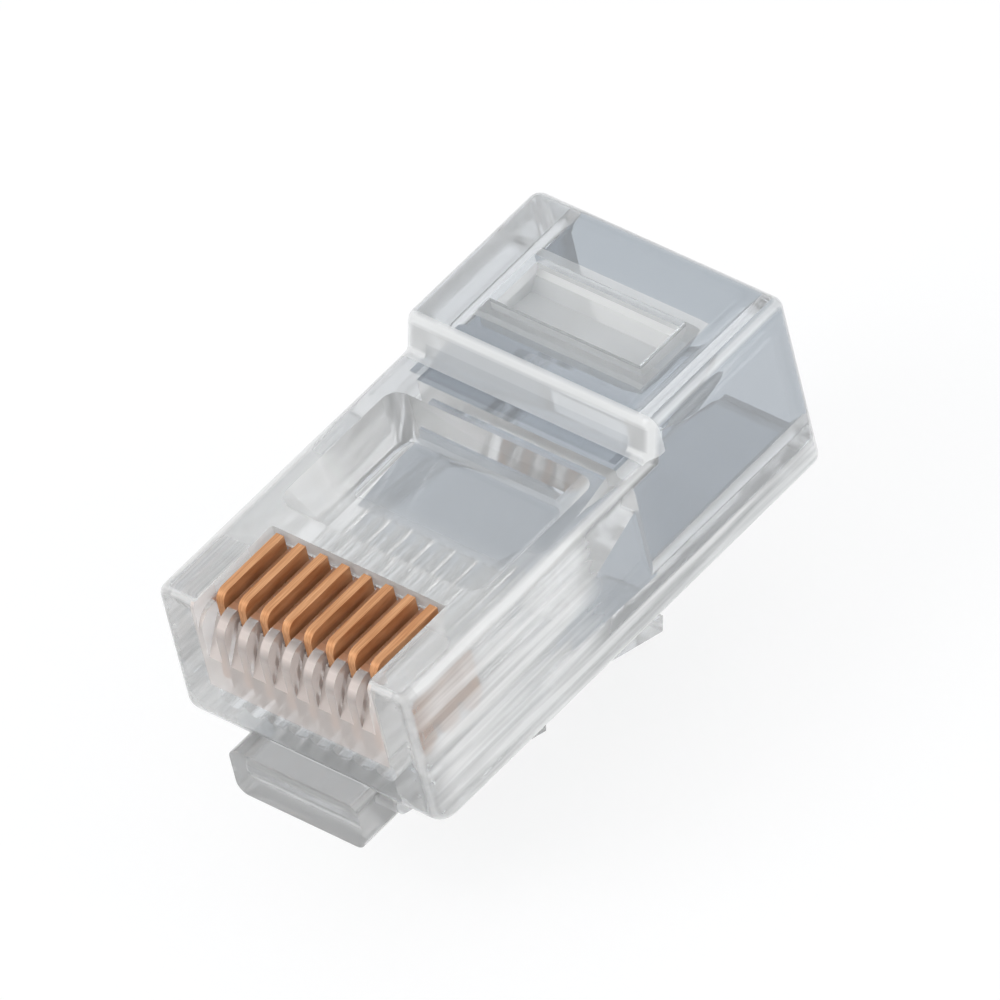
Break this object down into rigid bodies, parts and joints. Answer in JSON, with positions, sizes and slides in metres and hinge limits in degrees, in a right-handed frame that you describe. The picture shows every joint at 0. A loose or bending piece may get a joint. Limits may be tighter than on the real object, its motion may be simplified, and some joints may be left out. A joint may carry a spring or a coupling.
{
  "type": "rj45 modular plug",
  "caption": "Clear moulded modular plug for network cable, uncrimped, with pierce-through contacts in a ribbed comb, a cable cavity behind and a springing latch below.",
  "frame": {"origin": "centre of the nose's front face, midway across the plug and midway up the nose", "axes": "+X across the plug, +Y from the nose back to the cable entry, +Z towards the contacts, away from the latch"},
  "size_m": [0.0116, 0.0225, 0.0138],
  "materials": {
    "clear_plastic": "clear injection-moulded polycarbonate, glossy",
    "contact_metal": "gold-flashed phosphor bronze strip, stamped"
  },
  "bodies": {
    "housing": {"housing": "clear_plastic"},
    "latch": {"latch_lever": "clear_plastic"},
    "contact_1": {"contact_1": "contact_metal"},
    "contact_2": {"contact_2": "contact_metal"},
    "contact_3": {"contact_3": "contact_metal"},
    "contact_4": {"contact_4": "contact_metal"},
    "contact_5": {"contact_5": "contact_metal"},
    "contact_6": {"contact_6": "contact_metal"},
    "contact_7": {"contact_7": "contact_metal"},
    "contact_8": {"contact_8": "contact_metal"}
  },
  "joints": [
    {"name": "latch_flex", "type": "hinge", "parent": "housing", "child": "latch", "pos_m": [0, 0.0013, -0.00413], "axis": [1, 0, 0], "range_deg": [0, 15], "stiffness_Nm_per_rad": 0.15},
    {"name": "crimp_1", "type": "slide", "parent": "housing", "child": "contact_1", "axis": [0, 0, -1], "range_m": [0, 0.0006]},
    {"name": "crimp_2", "type": "slide", "parent": "housing", "child": "contact_2", "axis": [0, 0, -1], "range_m": [0, 0.0006]},
    {"name": "crimp_3", "type": "slide", "parent": "housing", "child": "contact_3", "axis": [0, 0, -1], "range_m": [0, 0.0006]},
    {"name": "crimp_4", "type": "slide", "parent": "housing", "child": "contact_4", "axis": [0, 0, -1], "range_m": [0, 0.0006]},
    {"name": "crimp_5", "type": "slide", "parent": "housing", "child": "contact_5", "axis": [0, 0, -1], "range_m": [0, 0.0006]},
    {"name": "crimp_6", "type": "slide", "parent": "housing", "child": "contact_6", "axis": [0, 0, -1], "range_m": [0, 0.0006]},
    {"name": "crimp_7", "type": "slide", "parent": "housing", "child": "contact_7", "axis": [0, 0, -1], "range_m": [0, 0.0006]},
    {"name": "crimp_8", "type": "slide", "parent": "housing", "child": "contact_8", "axis": [0, 0, -1], "range_m": [0, 0.0006]}
  ]
}
